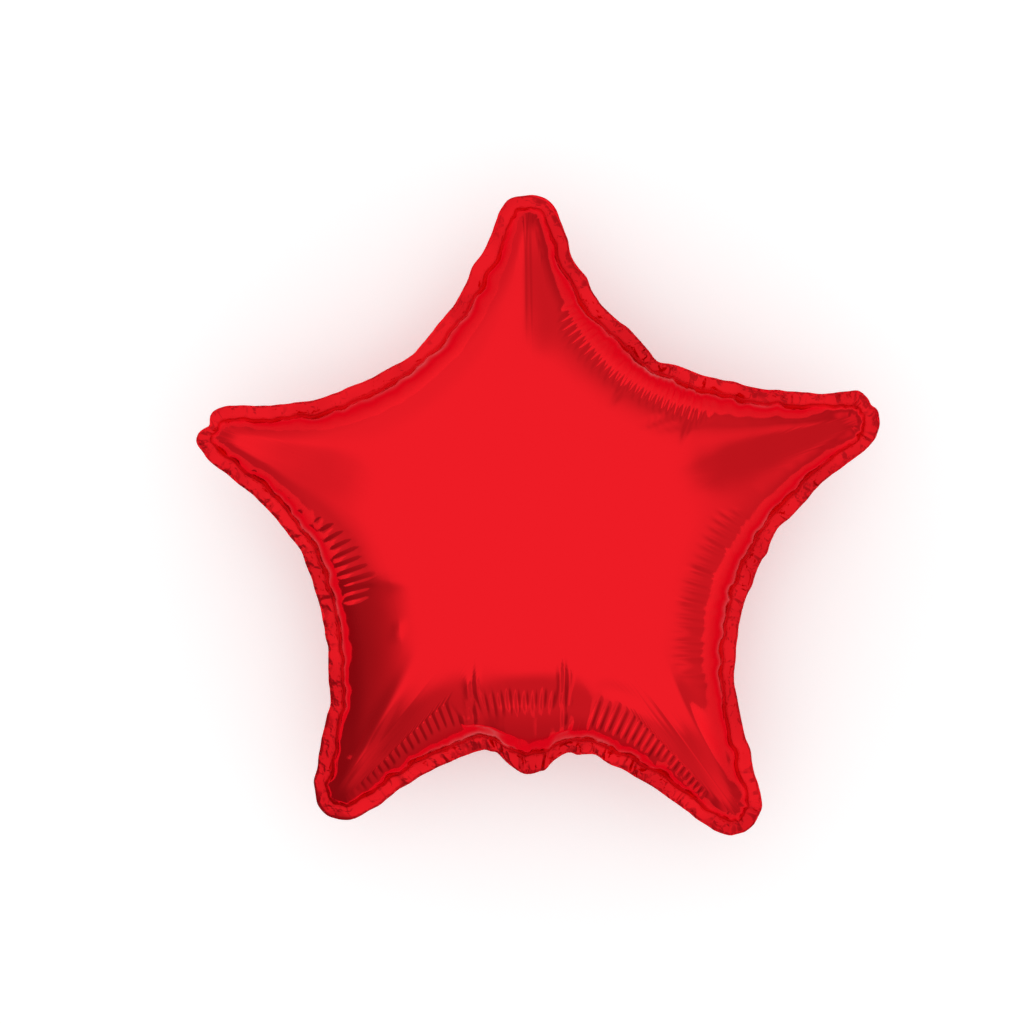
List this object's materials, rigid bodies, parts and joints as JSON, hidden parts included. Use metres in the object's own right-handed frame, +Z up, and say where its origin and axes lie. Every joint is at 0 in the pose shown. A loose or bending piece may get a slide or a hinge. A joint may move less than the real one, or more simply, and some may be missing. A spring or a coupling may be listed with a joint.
{
  "type": "star balloon",
  "caption": "Inflated five-pointed star balloon of red metallised film, with a flat welded seam round its edge and fine pleats in its notches.",
  "frame": {"origin": "middle of the small flat spot that the balloon rests on, under the star's centre", "axes": "+Z up out of the front sheet, +Y along the top arm, +X across the star's width, towards the right arm"},
  "size_m": [0.4463, 0.4221, 0.1508],
  "materials": {
    "red_foil": "mirror-like red metallised film"
  },
  "bodies": {
    "root": {"star_balloon": "red_foil"}
  },
  "joints": []
}
